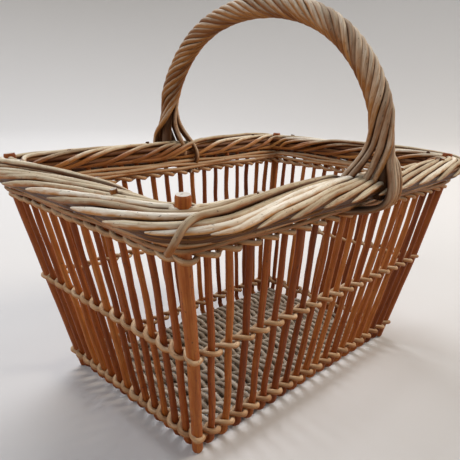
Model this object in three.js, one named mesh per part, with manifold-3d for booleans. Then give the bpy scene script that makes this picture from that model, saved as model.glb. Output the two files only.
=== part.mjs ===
// Open-sided willow basket: rectangular, tapered, with a randed base, upright stakes held by three
// fitched rows, a thick rolled border and one roped bow handle. Millimetres, +Z up, floor at z = 0.
import * as THREE from "three";
import Module from "manifold-3d";

const wasm = await Module();
wasm.setup();

// Fits between touching rods and solids.
const GAP = 0.3;

// Wall: half length and half width of the stake line at four heights.
const BASE_ROW_Z = 20;
const MID_ROW_Z = 107.8;
const TOP_ROW_Z = 195;
const POST_TOP_Z = 237.5;
const BASE_LENGTH = 319.3;
const BASE_WIDTH = 198.2;
const MID_LENGTH = 359.1;
const MID_WIDTH = 231.2;
const TOP_LENGTH = 400.1;
const TOP_WIDTH = 257.1;
const POST_LENGTH = 407.0;
const POST_WIDTH = 264.0;

// Stakes: equal rods between the corner posts.
const STAKES_LONG = 18;
const STAKES_SHORT = 13;
const STAKE_DIAMETER = 6.2;
const STAKE_TIP_DIAMETER = 5.4;
const STAKE_TOP_Z = 211.5;
const FOOT_BEND_RADIUS = 8;
const FOOT_HEIGHT = 3.5;

// Corner posts.
const POST_DIAMETER = 9;
const POST_TIP_DIAMETER = 10.6;
const POST_INSET = 1.6;

// Fitched rows: one rod outside the stakes and one inside.
const FITCH_DIAMETER = 5;

// Border: thick rolled edge, wider than the wall and lower on its outer side.
const BORDER_Z = 218;
const BORDER_WIDTH = 42;
const BORDER_HEIGHT = 28;
const BORDER_OUT = 12;
const BORDER_TILT = 15;
const BORDER_CORNER = 34;

// Base: randed mat over lengthwise sticks.
const MAT_THICKNESS = 12;
const MAT_ROD_PITCH = 7.4;
const MAT_ROD_RELIEF = 1.3;
const STICK_DIAMETER = 7;
const STICK_COUNT = 3;
const STICK_SPACING = 46;

// Handle: bow with wrapping rods, its legs beside the stakes next to the middle gap.
const HANDLE_X = 8.3;
const HANDLE_OUT = 8.9;
const HANDLE_SPRING_Z = 234;
const HANDLE_APEX_Z = 380.4;
const HANDLE_POWER = 2.18;
const HANDLE_DIAMETER = 22.8;
const HANDLE_STRANDS = 9;
const HANDLE_TURNS = 4;
const CORE_FOOT_Z = 212;
const FAN_SHARE = 0.05;

const ORANGE = 0xa9652f;
const WEATHERED = 0xcdbfa6;
const TAN = 0xb98d5f;
const GREY = 0xa59683;

const LEVELS = [BASE_ROW_Z, MID_ROW_Z, TOP_ROW_Z, POST_TOP_Z];
const HALF_X = [BASE_LENGTH, MID_LENGTH, TOP_LENGTH, POST_LENGTH].map((d) => d / 2);
const HALF_Y = [BASE_WIDTH, MID_WIDTH, TOP_WIDTH, POST_WIDTH].map((d) => d / 2);

const v = (x, y, z) => new THREE.Vector3(x, y, z);

// Straight-line reading of a size between the four levels, carried on below and above them.
function atLevel(sizes, z) {
  let i = 0;
  while (i < LEVELS.length - 2 && z > LEVELS[i + 1]) i += 1;
  const share = (z - LEVELS[i]) / (LEVELS[i + 1] - LEVELS[i]);
  return sizes[i] + (sizes[i + 1] - sizes[i]) * share;
}

// Body from rings of equal count: closed into a loop, or capped at both ends.
function skin(rings, loop = false) {
  const sides = rings[0].length;
  const points = rings.flat();
  const faces = [];
  const spans = loop ? rings.length : rings.length - 1;
  for (let i = 0; i < spans; i += 1) {
    const a = i * sides;
    const b = ((i + 1) % rings.length) * sides;
    for (let j = 0; j < sides; j += 1) {
      const k = (j + 1) % sides;
      faces.push([a + j, a + k, b + k], [a + j, b + k, b + j]);
    }
  }
  if (!loop) {
    const last = (rings.length - 1) * sides;
    for (let j = 1; j < sides - 1; j += 1) {
      faces.push([0, j + 1, j], [last, last + j, last + j + 1]);
    }
  }
  return outward(points, faces);
}

// Indexed triangles, turned so that they enclose a positive volume.
function outward(points, faces) {
  const volume = faces.reduce((sum, [a, b, c]) => {
    return sum + points[a].dot(points[b].clone().cross(points[c]));
  }, 0);
  const turned = volume < 0 ? faces.map(([a, b, c]) => [a, c, b]) : faces;
  return { points, faces: turned };
}

// Rod along a path of points, mitred at every bend; radius is one number or one per point.
function rod(path, radius, sides, loop = false) {
  const count = path.length;
  const radii = Array.isArray(radius) ? radius : path.map(() => radius);
  const step = (i) => path[(i + 1) % count].clone().sub(path[i]).normalize();
  let along = loop ? step(count - 1) : step(0);
  const side = Math.abs(along.z) < 0.9 ? v(0, 0, 1) : v(1, 0, 0);
  const first = side.clone().cross(along).normalize();
  const second = along.clone().cross(first);
  let spokes = Array.from({ length: sides }, (_, j) => {
    const turn = ((j + 0.5) / sides) * 2 * Math.PI;
    return first.clone().multiplyScalar(Math.cos(turn)).addScaledVector(second, Math.sin(turn));
  });
  const rings = [];
  path.forEach((point, i) => {
    const next = i === count - 1 && !loop ? along : step(i);
    const plane = along.clone().add(next).normalize();
    const mitred = spokes.map((s) => s.clone().addScaledVector(along, -s.dot(plane) / along.dot(plane)));
    rings.push(mitred.map((s) => point.clone().addScaledVector(s, radii[i])));
    spokes = mitred.map((s) => s.addScaledVector(next, -s.dot(next)).normalize());
    along = next;
  });
  return skin(rings, loop);
}

function toManifold({ points, faces }) {
  return new wasm.Manifold(new wasm.Mesh({
    numProp: 3,
    vertProperties: new Float32Array(points.flatMap((p) => [p.x, p.y, p.z])),
    triVerts: new Uint32Array(faces.flat()),
  }));
}

// Solid with each of the tools cut away.
function cut(solid, tools) {
  const result = tools.reduce((rest, tool) => rest.subtract(toManifold(tool)), toManifold(solid));
  const mesh = result.getMesh();
  const points = [];
  for (let i = 0; i < mesh.vertProperties.length; i += mesh.numProp) {
    points.push(v(mesh.vertProperties[i], mesh.vertProperties[i + 1], mesh.vertProperties[i + 2]));
  }
  const faces = [];
  for (let i = 0; i < mesh.triVerts.length; i += 3) {
    faces.push([mesh.triVerts[i], mesh.triVerts[i + 1], mesh.triVerts[i + 2]]);
  }
  return { points, faces };
}

function part(name, { points, faces }, color) {
  const geometry = new THREE.BufferGeometry();
  geometry.setAttribute("position", new THREE.Float32BufferAttribute(points.flatMap((p) => [p.x, p.y, p.z]), 3));
  geometry.setIndex(faces.flat());
  geometry.computeVertexNormals();
  const material = new THREE.MeshStandardMaterial({ color, roughness: 0.7 });
  material.flatShading = true;
  const mesh = new THREE.Mesh(geometry, material);
  mesh.name = name;
  return mesh;
}

// The four walls: which way the wall faces, how many stakes it has, and a point on it.
// u runs along the wall from -1 to 1, out is the distance outside the stake line.
const WALLS = [
  { name: "front", stakes: STAKES_LONG, at: (u, z, out) => v(u * atLevel(HALF_X, z), -atLevel(HALF_Y, z) - out, z) },
  { name: "back", stakes: STAKES_LONG, at: (u, z, out) => v(u * atLevel(HALF_X, z), atLevel(HALF_Y, z) + out, z) },
  { name: "left", stakes: STAKES_SHORT, at: (u, z, out) => v(-atLevel(HALF_X, z) - out, u * atLevel(HALF_Y, z), z) },
  { name: "right", stakes: STAKES_SHORT, at: (u, z, out) => v(atLevel(HALF_X, z) + out, u * atLevel(HALF_Y, z), z) },
];

// Stakes run on straight into the border above the top row.
function stakeTip(wall, u, z, out) {
  const top = wall.at(u, TOP_ROW_Z, out);
  const slope = top.clone().sub(wall.at(u, MID_ROW_Z, out)).divideScalar(TOP_ROW_Z - MID_ROW_Z);
  return top.addScaledVector(slope, z - TOP_ROW_Z);
}

const stakeShare = (wall, i) => (2 * (i + 1)) / (wall.stakes + 1) - 1;

// One stake from its tip in the border, down the wall and bent in under the base edge.
function stakePath(wall, i) {
  const u = stakeShare(wall, i);
  const bendZ = FOOT_HEIGHT + FOOT_BEND_RADIUS;
  const inward = FOOT_BEND_RADIUS * (1 - Math.SQRT1_2);
  const bend = wall.at(u, bendZ, 0);
  const foot = (out, z) => {
    const p = wall.at(u, bendZ, out);
    return v(p.x, p.y, z);
  };
  return [
    stakeTip(wall, u, STAKE_TOP_Z, 0),
    wall.at(u, MID_ROW_Z, 0),
    bend,
    foot(-inward, bendZ - FOOT_BEND_RADIUS * Math.SQRT1_2),
    foot(-FOOT_BEND_RADIUS, FOOT_HEIGHT),
  ];
}

function stakeRadii() {
  const thick = STAKE_DIAMETER / 2;
  const thin = STAKE_TIP_DIAMETER / 2;
  return [thin, (thin + thick) / 2, thick, thick, thick];
}

// Two neighbouring stakes bent from one rod; a lone stake when the wall has an odd one.
function stakeNode(wall, first, second) {
  const a = stakePath(wall, first);
  const ra = stakeRadii();
  if (second === first) return rod(a, ra, 6);
  const b = stakePath(wall, second).reverse();
  return rod([...a, ...b], [...ra, ...stakeRadii().reverse()], 6);
}

function stakeGroups(wall) {
  const groups = [];
  const middle = wall.stakes % 2 ? (wall.stakes - 1) / 2 : -1;
  for (let i = 0; i < wall.stakes; i += 1) {
    const last = i === middle ? i : i + 1;
    groups.push([i, last]);
    i = last;
  }
  return groups;
}

const CORNERS = [
  { name: "front_left", x: -1, y: -1 },
  { name: "front_right", x: 1, y: -1 },
  { name: "back_left", x: -1, y: 1 },
  { name: "back_right", x: 1, y: 1 },
];

function postPath(corner, low, high) {
  return [low, BASE_ROW_Z, MID_ROW_Z, TOP_ROW_Z, high].map((z) => {
    return v(corner.x * (atLevel(HALF_X, z) - POST_INSET), corner.y * (atLevel(HALF_Y, z) - POST_INSET), z);
  });
}

function postRadii(extra) {
  const low = POST_DIAMETER / 2 + extra;
  const high = POST_TIP_DIAMETER / 2 + extra;
  return [low, low, (low + high) / 2, high, high];
}

// Post with its foot and its tip cut level.
function post(corner) {
  const body = rod(postPath(corner, -6, POST_TOP_Z + 8), postRadii(0), 8);
  const half = atLevel(HALF_X, POST_TOP_Z);
  return cut(body, [box(-half * 2, half * 2, -half * 2, half * 2, -30, 0),
    box(-half * 2, half * 2, -half * 2, half * 2, POST_TOP_Z, POST_TOP_Z + 40)]);
}

function box(x0, x1, y0, y1, z0, z1) {
  const ring = (z) => [v(x0, y0, z), v(x1, y0, z), v(x1, y1, z), v(x0, y1, z)];
  return skin([ring(z0), ring(z1)]);
}

// Slope of the walls shortens the level distance between a stake and a rod beside it.
const WALL_SLOPE = (TOP_LENGTH - BASE_LENGTH) / 2 / (TOP_ROW_Z - BASE_ROW_Z);
const FITCH_OFFSET = ((STAKE_DIAMETER + FITCH_DIAMETER) / 2 + GAP) * Math.hypot(1, WALL_SLOPE);
const POST_OFFSET = ((POST_TIP_DIAMETER + FITCH_DIAMETER) / 2 + GAP) * Math.hypot(1, WALL_SLOPE);

// Level loop outside the stakes, swung round each post in three short bends.
function outerLoop(z) {
  const hx = atLevel(HALF_X, z) - POST_INSET;
  const hy = atLevel(HALF_Y, z) - POST_INSET;
  const side = FITCH_OFFSET + POST_INSET;
  const swing = Math.max(POST_OFFSET, side) / Math.cos(Math.PI / 12);
  const local = [[side, -1.5 * POST_DIAMETER], ...[0, 30, 60, 90].map((degrees) => {
    const turn = THREE.MathUtils.degToRad(degrees);
    return [swing * Math.cos(turn), swing * Math.sin(turn)];
  }), [-1.5 * POST_DIAMETER, side]];
  return [[1, -1], [1, 1], [-1, 1], [-1, -1]].flatMap(([sx, sy]) => {
    const path = local.map(([x, y]) => v(sx * (hx + x), sy * (hy + y), z));
    return sx * sy > 0 ? path : path.reverse();
  });
}

// Level loop inside the stakes, cutting across each post.
function innerLoop(z) {
  const hx = atLevel(HALF_X, z);
  const hy = atLevel(HALF_Y, z);
  const across = POST_OFFSET * Math.SQRT2 + 2 * POST_INSET + 0.4;
  const quarter = [[1, -1], [1, 1], [-1, 1], [-1, -1]];
  return quarter.flatMap(([sx, sy]) => {
    const rest = across - FITCH_OFFSET;
    const path = [v(sx * (hx - FITCH_OFFSET), sy * (hy - rest), z), v(sx * (hx - rest), sy * (hy - FITCH_OFFSET), z)];
    return sx * sy > 0 ? path : path.reverse();
  });
}

const HALF_BORDER_X = atLevel(HALF_X, BORDER_Z) + BORDER_OUT;
const HALF_BORDER_Y = atLevel(HALF_Y, BORDER_Z) + BORDER_OUT;
const HANDLE_HALF_SPAN = HALF_BORDER_Y + HANDLE_OUT;

// Point of the border's section: turn is 0 on the outer side and 90 degrees on top.
function borderSection(turn, grow) {
  const a = (BORDER_WIDTH / 2 + grow) * Math.cos(turn);
  const b = (BORDER_HEIGHT / 2 + grow) * Math.sin(turn);
  const tilt = THREE.MathUtils.degToRad(BORDER_TILT);
  return { out: a * Math.cos(tilt) + b * Math.sin(tilt), up: b * Math.cos(tilt) - a * Math.sin(tilt) };
}

// Centre line of one border beam, from mitre to mitre, with the level outward direction at each point.
function borderLine(wall) {
  const long = wall.name === "front" || wall.name === "back";
  const run = (long ? HALF_BORDER_X : HALF_BORDER_Y) - BORDER_CORNER;
  const away = (long ? HALF_BORDER_Y : HALF_BORDER_X) - BORDER_CORNER;
  const line = [];
  for (const end of [-1, 1]) {
    for (let i = 0; i <= 3; i += 1) {
      const turn = ((end < 0 ? 3 - i : i) / 3) * (Math.PI / 4);
      const out = v(end * Math.sin(turn), Math.cos(turn), 0);
      const centre = v(end * run, away, 0);
      line.push({ point: centre.addScaledVector(out, BORDER_CORNER), out });
    }
  }
  const turned = { front: 2, back: 0, left: 1, right: 3 }[wall.name] * (Math.PI / 2);
  const up = v(0, 0, 1);
  const placed = line.map((p) => ({ point: p.point.applyAxisAngle(up, turned), out: p.out.applyAxisAngle(up, turned) }));
  const tangent = (p) => p.out.clone().cross(up);
  placed[0].point.addScaledVector(tangent(placed[0]), GAP / 2);
  placed[7].point.addScaledVector(tangent(placed[7]), -GAP / 2);
  return placed;
}

// Groove under the border that takes a wall's stake tips.
function stakeGroove(wall) {
  const half = (STAKE_TIP_DIAMETER / 2 + GAP) * Math.hypot(1, WALL_SLOPE);
  const reach = stakeShare(wall, wall.stakes - 1);
  const end = wall.name === "front" || wall.name === "back" ? atLevel(HALF_X, BORDER_Z) : atLevel(HALF_Y, BORDER_Z);
  const u = reach + (STAKE_TIP_DIAMETER / 2 + 2 * GAP) / end;
  const low = TOP_ROW_Z + 2;
  const high = STAKE_TOP_Z + (STAKE_TIP_DIAMETER / 2) * WALL_SLOPE + GAP;
  const edge = (share, z, out) => stakeTip(wall, share, z, out);
  const ring = (share) => [edge(share, low, -half), edge(share, low, half), edge(share, high, half),
    edge(share, high, -half)];
  return skin([ring(-u), ring(u)]);
}

function borderBeam(wall) {
  const sides = 12;
  const rings = borderLine(wall).map(({ point, out }) => {
    return Array.from({ length: sides }, (_, j) => {
      const s = borderSection((j / sides) * 2 * Math.PI, 0);
      return point.clone().addScaledVector(out, s.out).add(v(0, 0, BORDER_Z + s.up));
    });
  });
  const tools = [stakeGroove(wall)];
  for (const corner of CORNERS) {
    tools.push(rod(postPath(corner, -6, POST_TOP_Z + 30), postRadii(GAP * 1.5), 8));
  }
  for (const y of [-1, 1]) {
    const leg = coreLine(CORE_FOOT_Z - GAP).filter((p) => p.y * y > HANDLE_HALF_SPAN * 0.9);
    tools.push(rod(leg, CORE_RADIUS + GAP, 8));
  }
  return cut(skin(rings), tools);
}

// Wrapping rods as thick as will lie side by side round the rope at their lean, with room for flat sides.
const STRAND_LAP = Math.PI * 0.78 * HANDLE_DIAMETER * HANDLE_TURNS;
const STRAND_LEAN = 0.965 * Math.cos(Math.atan(STRAND_LAP / ropeLength()));
const STRAND_SHARE = Math.sin(Math.PI / HANDLE_STRANDS) * STRAND_LEAN;
const STRAND_DIAMETER = (HANDLE_DIAMETER * STRAND_SHARE - GAP) / (1 + STRAND_SHARE);
const FAN_SPACING = STRAND_DIAMETER + 1.9;
const STRAND_CIRCLE = (HANDLE_DIAMETER - STRAND_DIAMETER) / 2;
const CORE_RADIUS = STRAND_CIRCLE - STRAND_DIAMETER / 2 - GAP - 0.7;

// Bow centre line as equal steps, from the front foot over the top to the back foot.
function bowLine(steps) {
  const fine = 720;
  const bow = Array.from({ length: fine + 1 }, (_, i) => {
    const turn = (i / fine) * Math.PI;
    const c = Math.cos(turn);
    const s = Math.sin(turn);
    const y = -HANDLE_HALF_SPAN * Math.sign(c) * Math.abs(c) ** (2 / HANDLE_POWER);
    const z = HANDLE_SPRING_Z + (HANDLE_APEX_Z - HANDLE_SPRING_Z) * Math.abs(s) ** (2 / HANDLE_POWER);
    return v(HANDLE_X, y, z);
  });
  const lengths = [0];
  for (let i = 1; i <= fine; i += 1) lengths.push(lengths[i - 1] + bow[i].distanceTo(bow[i - 1]));
  const total = lengths[fine];
  return Array.from({ length: steps + 1 }, (_, i) => {
    const want = (i / steps) * total;
    let k = 0;
    while (k < fine - 1 && lengths[k + 1] < want) k += 1;
    const share = (want - lengths[k]) / (lengths[k + 1] - lengths[k]);
    const point = bow[k].clone().lerp(bow[k + 1], share);
    const along = bow[k + 1].clone().sub(bow[k]).normalize();
    return { point, out: v(0, along.z * -1, along.y), share: i / steps };
  });
}

// Length of the bow between the two fans.
function ropeLength() {
  const bow = bowLine(120).map((p) => p.point);
  const total = bow.slice(1).reduce((sum, point, i) => sum + point.distanceTo(bow[i]), 0);
  return total * (1 - 2 * FAN_SHARE);
}

// Bow rod with both legs let straight down into the border.
function coreLine(footZ) {
  const bow = bowLine(26).map((p) => p.point);
  return [v(HANDLE_X, -HANDLE_HALF_SPAN, footZ), ...bow, v(HANDLE_X, HANDLE_HALF_SPAN, footZ)];
}

// Turn of the border's section, in degrees, at which a strand laid on it is clear of the bow.
function contactTurn(way, grow) {
  const clear = HANDLE_OUT + way * (CORE_RADIUS + STRAND_DIAMETER / 2 + 3 * GAP);
  let degrees = 90;
  while (way * (clear - borderSection(THREE.MathUtils.degToRad(degrees), grow).out) > 0 && degrees > 20) {
    degrees -= way;
  }
  return degrees;
}

// Where a strand leaves the rope, it fans out and follows the border down on its own side.
function strandFoot(x, way, y) {
  const grow = STRAND_DIAMETER / 2 + GAP + 0.5;
  const first = contactTurn(way, grow);
  const last = way > 0 ? -52 : 190;
  return [0, 1, 2, 3, 4].map((i) => {
    const s = borderSection(THREE.MathUtils.degToRad(first + ((last - first) * i) / 4), grow);
    return v(HANDLE_X + x, y * (HALF_BORDER_Y + s.out), BORDER_Z + s.up);
  });
}

function handleStrand(k) {
  const steps = 40;
  const start = ((k + 0.5) / HANDLE_STRANDS) * 2 * Math.PI;
  const wrapped = bowLine(steps).filter((p) => Math.abs(p.share - 0.5) <= 0.501 - FAN_SHARE);
  const rope = wrapped.map(({ point, out, share }) => {
    const turn = start - ((share - FAN_SHARE) / (1 - 2 * FAN_SHARE)) * HANDLE_TURNS * 2 * Math.PI;
    const level = v(STRAND_CIRCLE * Math.cos(turn), 0, 0);
    return point.clone().add(level).addScaledVector(out, STRAND_CIRCLE * Math.sin(turn));
  });
  const outer = Math.ceil(HANDLE_STRANDS / 2);
  const way = k < outer ? 1 : -1;
  const x = way > 0 ? ((outer - 1) / 2 - k) * FAN_SPACING : (k - (outer + HANDLE_STRANDS - 1) / 2) * FAN_SPACING;
  const front = strandFoot(x, way, -1).reverse();
  const back = strandFoot(x, way, 1);
  return rod([...front, ...rope, ...back], STRAND_DIAMETER / 2, 6);
}

// Edge of the mat stays just inside the bend of the stake feet.
const MAT_BEND_Z = FOOT_HEIGHT + FOOT_BEND_RADIUS;
const MAT_EDGE = -0.2;
const MAT_HALF_X = atLevel(HALF_X, MAT_BEND_Z) - FOOT_BEND_RADIUS + MAT_EDGE;
const MAT_HALF_Y = atLevel(HALF_Y, MAT_BEND_Z) - FOOT_BEND_RADIUS + MAT_EDGE;

// Mat section along the base: flat underneath, one low ridge per rod on top.
function matBlank() {
  const rods = Math.round((2 * MAT_HALF_X) / MAT_ROD_PITCH);
  const pitch = (2 * MAT_HALF_X) / rods;
  const outline = [v(-MAT_HALF_X, 0, 0), v(MAT_HALF_X, 0, 0)];
  for (let i = 0; i < rods; i += 1) {
    const x = MAT_HALF_X - i * pitch;
    outline.push(v(x, 0, MAT_THICKNESS - MAT_ROD_RELIEF), v(x - pitch / 2, 0, MAT_THICKNESS));
  }
  outline.push(v(-MAT_HALF_X, 0, MAT_THICKNESS - MAT_ROD_RELIEF));
  const shape = new THREE.Shape(outline.map((p) => new THREE.Vector2(p.x, p.z)));
  const flat = THREE.ShapeUtils.triangulateShape(shape.getPoints(), []);
  const points = [-1, 1].flatMap((y) => outline.map((p) => v(p.x, y * MAT_HALF_Y, p.z)));
  const count = outline.length;
  const faces = flat.flatMap(([a, b, c]) => [[a, c, b], [a + count, b + count, c + count]]);
  outline.forEach((_, i) => {
    const k = (i + 1) % count;
    faces.push([i, k, k + count], [i, k + count, i + count]);
  });
  return outward(points, faces);
}

// Notch under the mat's edge for one group of stake feet.
function footNotch(wall, [first, last]) {
  const reach = STAKE_DIAMETER / 2 + GAP;
  const inner = -FOOT_BEND_RADIUS - reach;
  const a = wall.at(stakeShare(wall, first), MAT_BEND_Z, inner);
  const b = wall.at(stakeShare(wall, last), MAT_BEND_Z, 20);
  const high = FOOT_HEIGHT + reach;
  const long = wall.name === "front" || wall.name === "back";
  const [gx, gy] = long ? [reach, 0] : [0, reach];
  return box(Math.min(a.x, b.x) - gx, Math.max(a.x, b.x) + gx, Math.min(a.y, b.y) - gy, Math.max(a.y, b.y) + gy,
    -5, high);
}

const stickY = (i) => (i - (STICK_COUNT - 1) / 2) * STICK_SPACING;
const STICK_HALF = MAT_HALF_X - 22;

function stickBody(i, extra) {
  const z = STICK_DIAMETER / 2 - 0.6;
  const half = STICK_HALF + extra;
  return rod([v(-half, stickY(i), z), v(half, stickY(i), z)], STICK_DIAMETER / 2 + extra, 10);
}

// Lengthwise base stick with a flat underside, held by its groove in the mat.
function stick(i) {
  return cut(stickBody(i, 0), [box(-400, 400, -400, 400, -20, 0)]);
}

function mat() {
  const notches = WALLS.flatMap((wall) => stakeGroups(wall).map((group) => footNotch(wall, group)));
  const grooves = Array.from({ length: STICK_COUNT }, (_, i) => stickBody(i, GAP));
  const posts = CORNERS.map((corner) => rod(postPath(corner, -6, POST_TOP_Z), postRadii(GAP), 8));
  return cut(matBlank(), [...notches, ...grooves, ...posts]);
}

const basket = new THREE.Group();
basket.name = "willow_basket";
basket.add(part("base_mat", mat(), GREY));
for (let i = 0; i < STICK_COUNT; i += 1) basket.add(part(`base_stick_${i + 1}`, stick(i), GREY));
for (const wall of WALLS) {
  stakeGroups(wall).forEach(([a, b], i) => {
    basket.add(part(`stakes_${wall.name}_${i + 1}`, stakeNode(wall, a, b), ORANGE));
  });
}
for (const corner of CORNERS) basket.add(part(`post_${corner.name}`, post(corner), ORANGE));
for (const [name, z] of [["base", BASE_ROW_Z], ["mid", MID_ROW_Z], ["top", TOP_ROW_Z]]) {
  basket.add(part(`fitch_${name}_outer`, rod(outerLoop(z), FITCH_DIAMETER / 2, 8, true), TAN));
  basket.add(part(`fitch_${name}_inner`, rod(innerLoop(z), FITCH_DIAMETER / 2, 8, true), TAN));
}
for (const wall of WALLS) basket.add(part(`border_${wall.name}`, borderBeam(wall), WEATHERED));
basket.add(part("handle_core", rod(coreLine(CORE_FOOT_Z), CORE_RADIUS, 8), TAN));
for (let k = 0; k < HANDLE_STRANDS; k += 1) basket.add(part(`handle_strand_${k + 1}`, handleStrand(k), TAN));

export default basket;
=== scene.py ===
# Willow basket: upright stakes held by three fitched rows, a rolled border and a roped bow handle.
# Metres, +Z up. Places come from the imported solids, and sizes from the dictionary beside each piece.
import math
import bpy
import numpy as np
from mathutils import Matrix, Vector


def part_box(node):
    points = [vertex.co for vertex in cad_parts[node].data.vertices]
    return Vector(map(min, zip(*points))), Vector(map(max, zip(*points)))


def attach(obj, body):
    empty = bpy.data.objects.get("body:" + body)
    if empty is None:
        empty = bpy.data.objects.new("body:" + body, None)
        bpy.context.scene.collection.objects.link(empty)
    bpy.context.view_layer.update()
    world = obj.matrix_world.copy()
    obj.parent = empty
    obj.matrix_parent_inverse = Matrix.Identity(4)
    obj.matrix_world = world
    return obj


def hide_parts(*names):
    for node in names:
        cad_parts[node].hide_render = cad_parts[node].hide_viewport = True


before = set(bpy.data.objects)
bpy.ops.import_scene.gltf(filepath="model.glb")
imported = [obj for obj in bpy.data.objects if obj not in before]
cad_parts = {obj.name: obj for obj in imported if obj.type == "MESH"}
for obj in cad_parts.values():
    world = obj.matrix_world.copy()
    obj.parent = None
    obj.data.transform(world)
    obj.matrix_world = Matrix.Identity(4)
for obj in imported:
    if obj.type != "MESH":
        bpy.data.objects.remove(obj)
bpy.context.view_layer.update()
chance = np.random.default_rng(11)
mm = 0.001
upward = np.array([0, 0, 1.0])


def unit(a):
    # Each vector divided by its length.
    return a / np.maximum(np.linalg.norm(a, axis=-1, keepdims=True), 1e-12)


def smoothWave(count, places, reach, shortest, longest):
    # Sum of four sine waves with random lengths and phases, one row for each rod.
    lengths = chance.uniform(shortest, longest, (count, 4, 1))
    phases = chance.uniform(0, 2 * np.pi, (count, 4, 1))
    return reach * 0.5 * np.sin(2 * np.pi * places[:, None, :] / lengths + phases).sum(1)


def alongPath(paths):
    # Distance run along each path up to each of its points.
    steps = np.linalg.norm(np.diff(paths, axis=1), axis=2)
    return np.concatenate([np.zeros((len(paths), 1)), np.cumsum(steps, axis=1)], axis=1)


def rodRings(points, along, radii, facing, sides):
    # A point of a ring is the path's point plus the radius times cos(turn) of the spoke that looks
    # towards "facing" and sin(turn) of the spoke square to it and to the path.
    across = unit(np.cross(along, facing))
    spoke = np.cross(across, along)
    turn = np.linspace(0, 2 * np.pi, sides, endpoint=False)
    ring = spoke[:, :, None] * np.cos(turn)[:, None] + across[:, :, None] * np.sin(turn)[:, None]
    return points[:, :, None] + ring * radii[:, :, None, None], ring, turn


def wornEnds(points, along, radii, facing, ends):
    # One more ring past each end, narrower than the rod, as a worn edge.
    worn = 0.35  # how far past the end, as a share of the radius
    first = points[:, :1] - along[:, :1] * radii[:, :1, None] * worn
    last = points[:, -1:] + along[:, -1:] * radii[:, -1:, None] * worn
    points = np.concatenate([first, points, last], axis=1)
    radii = np.concatenate([radii[:, :1] * ends[0], radii, radii[:, -1:] * ends[1]], axis=1)
    facing = np.concatenate([facing[:, :1], facing, facing[:, -1:]], axis=1)
    along = np.concatenate([along[:, :1], along, along[:, -1:]], axis=1)
    return points, along, radii, facing


def rodQuads(place, loop):
    # Faces between each ring and the next, and round to the first ring where the rod is a loop.
    following = np.roll(place, -1, axis=2)
    if loop:
        nextPlace = np.roll(place, -1, axis=1)
        nextFollowing = np.roll(following, -1, axis=1)
        quads = np.stack([place, following, nextFollowing, nextPlace], axis=-1)
    else:
        quads = np.stack([place[:, :-1], following[:, :-1], following[:, 1:], place[:, 1:]], axis=-1)
    return quads[..., ::-1].reshape(-1, 4)


def rodMap(points, radii, sides, loop):
    # Distance round the rod and distance along it, in metres, at the four corners of each face.
    count, stations = radii.shape
    run = alongPath(points)
    spans = stations - 1
    if loop:
        spans = stations
        run = np.concatenate([run, run[:, -1:] + run[:, 1:2]], axis=1)
    girth = 2 * np.pi * radii.mean()
    left = np.broadcast_to((np.arange(sides) / sides * girth)[None, None], (count, spans, sides))
    right = left + girth / sides
    low = np.broadcast_to(run[:, :spans, None], left.shape)
    high = np.broadcast_to(run[:, 1:spans + 1, None], left.shape)
    corners = np.stack([left, low, right, low, right, high, left, high], axis=-1).reshape(-1, 4, 2)
    return corners[:, ::-1].reshape(-1, 2)


def pointValues(mesh, name, values):
    # One value for each vertex, under a name that the materials read.
    mesh.attributes.new(name, "FLOAT", "POINT").data.foreach_set("value", values)


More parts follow.
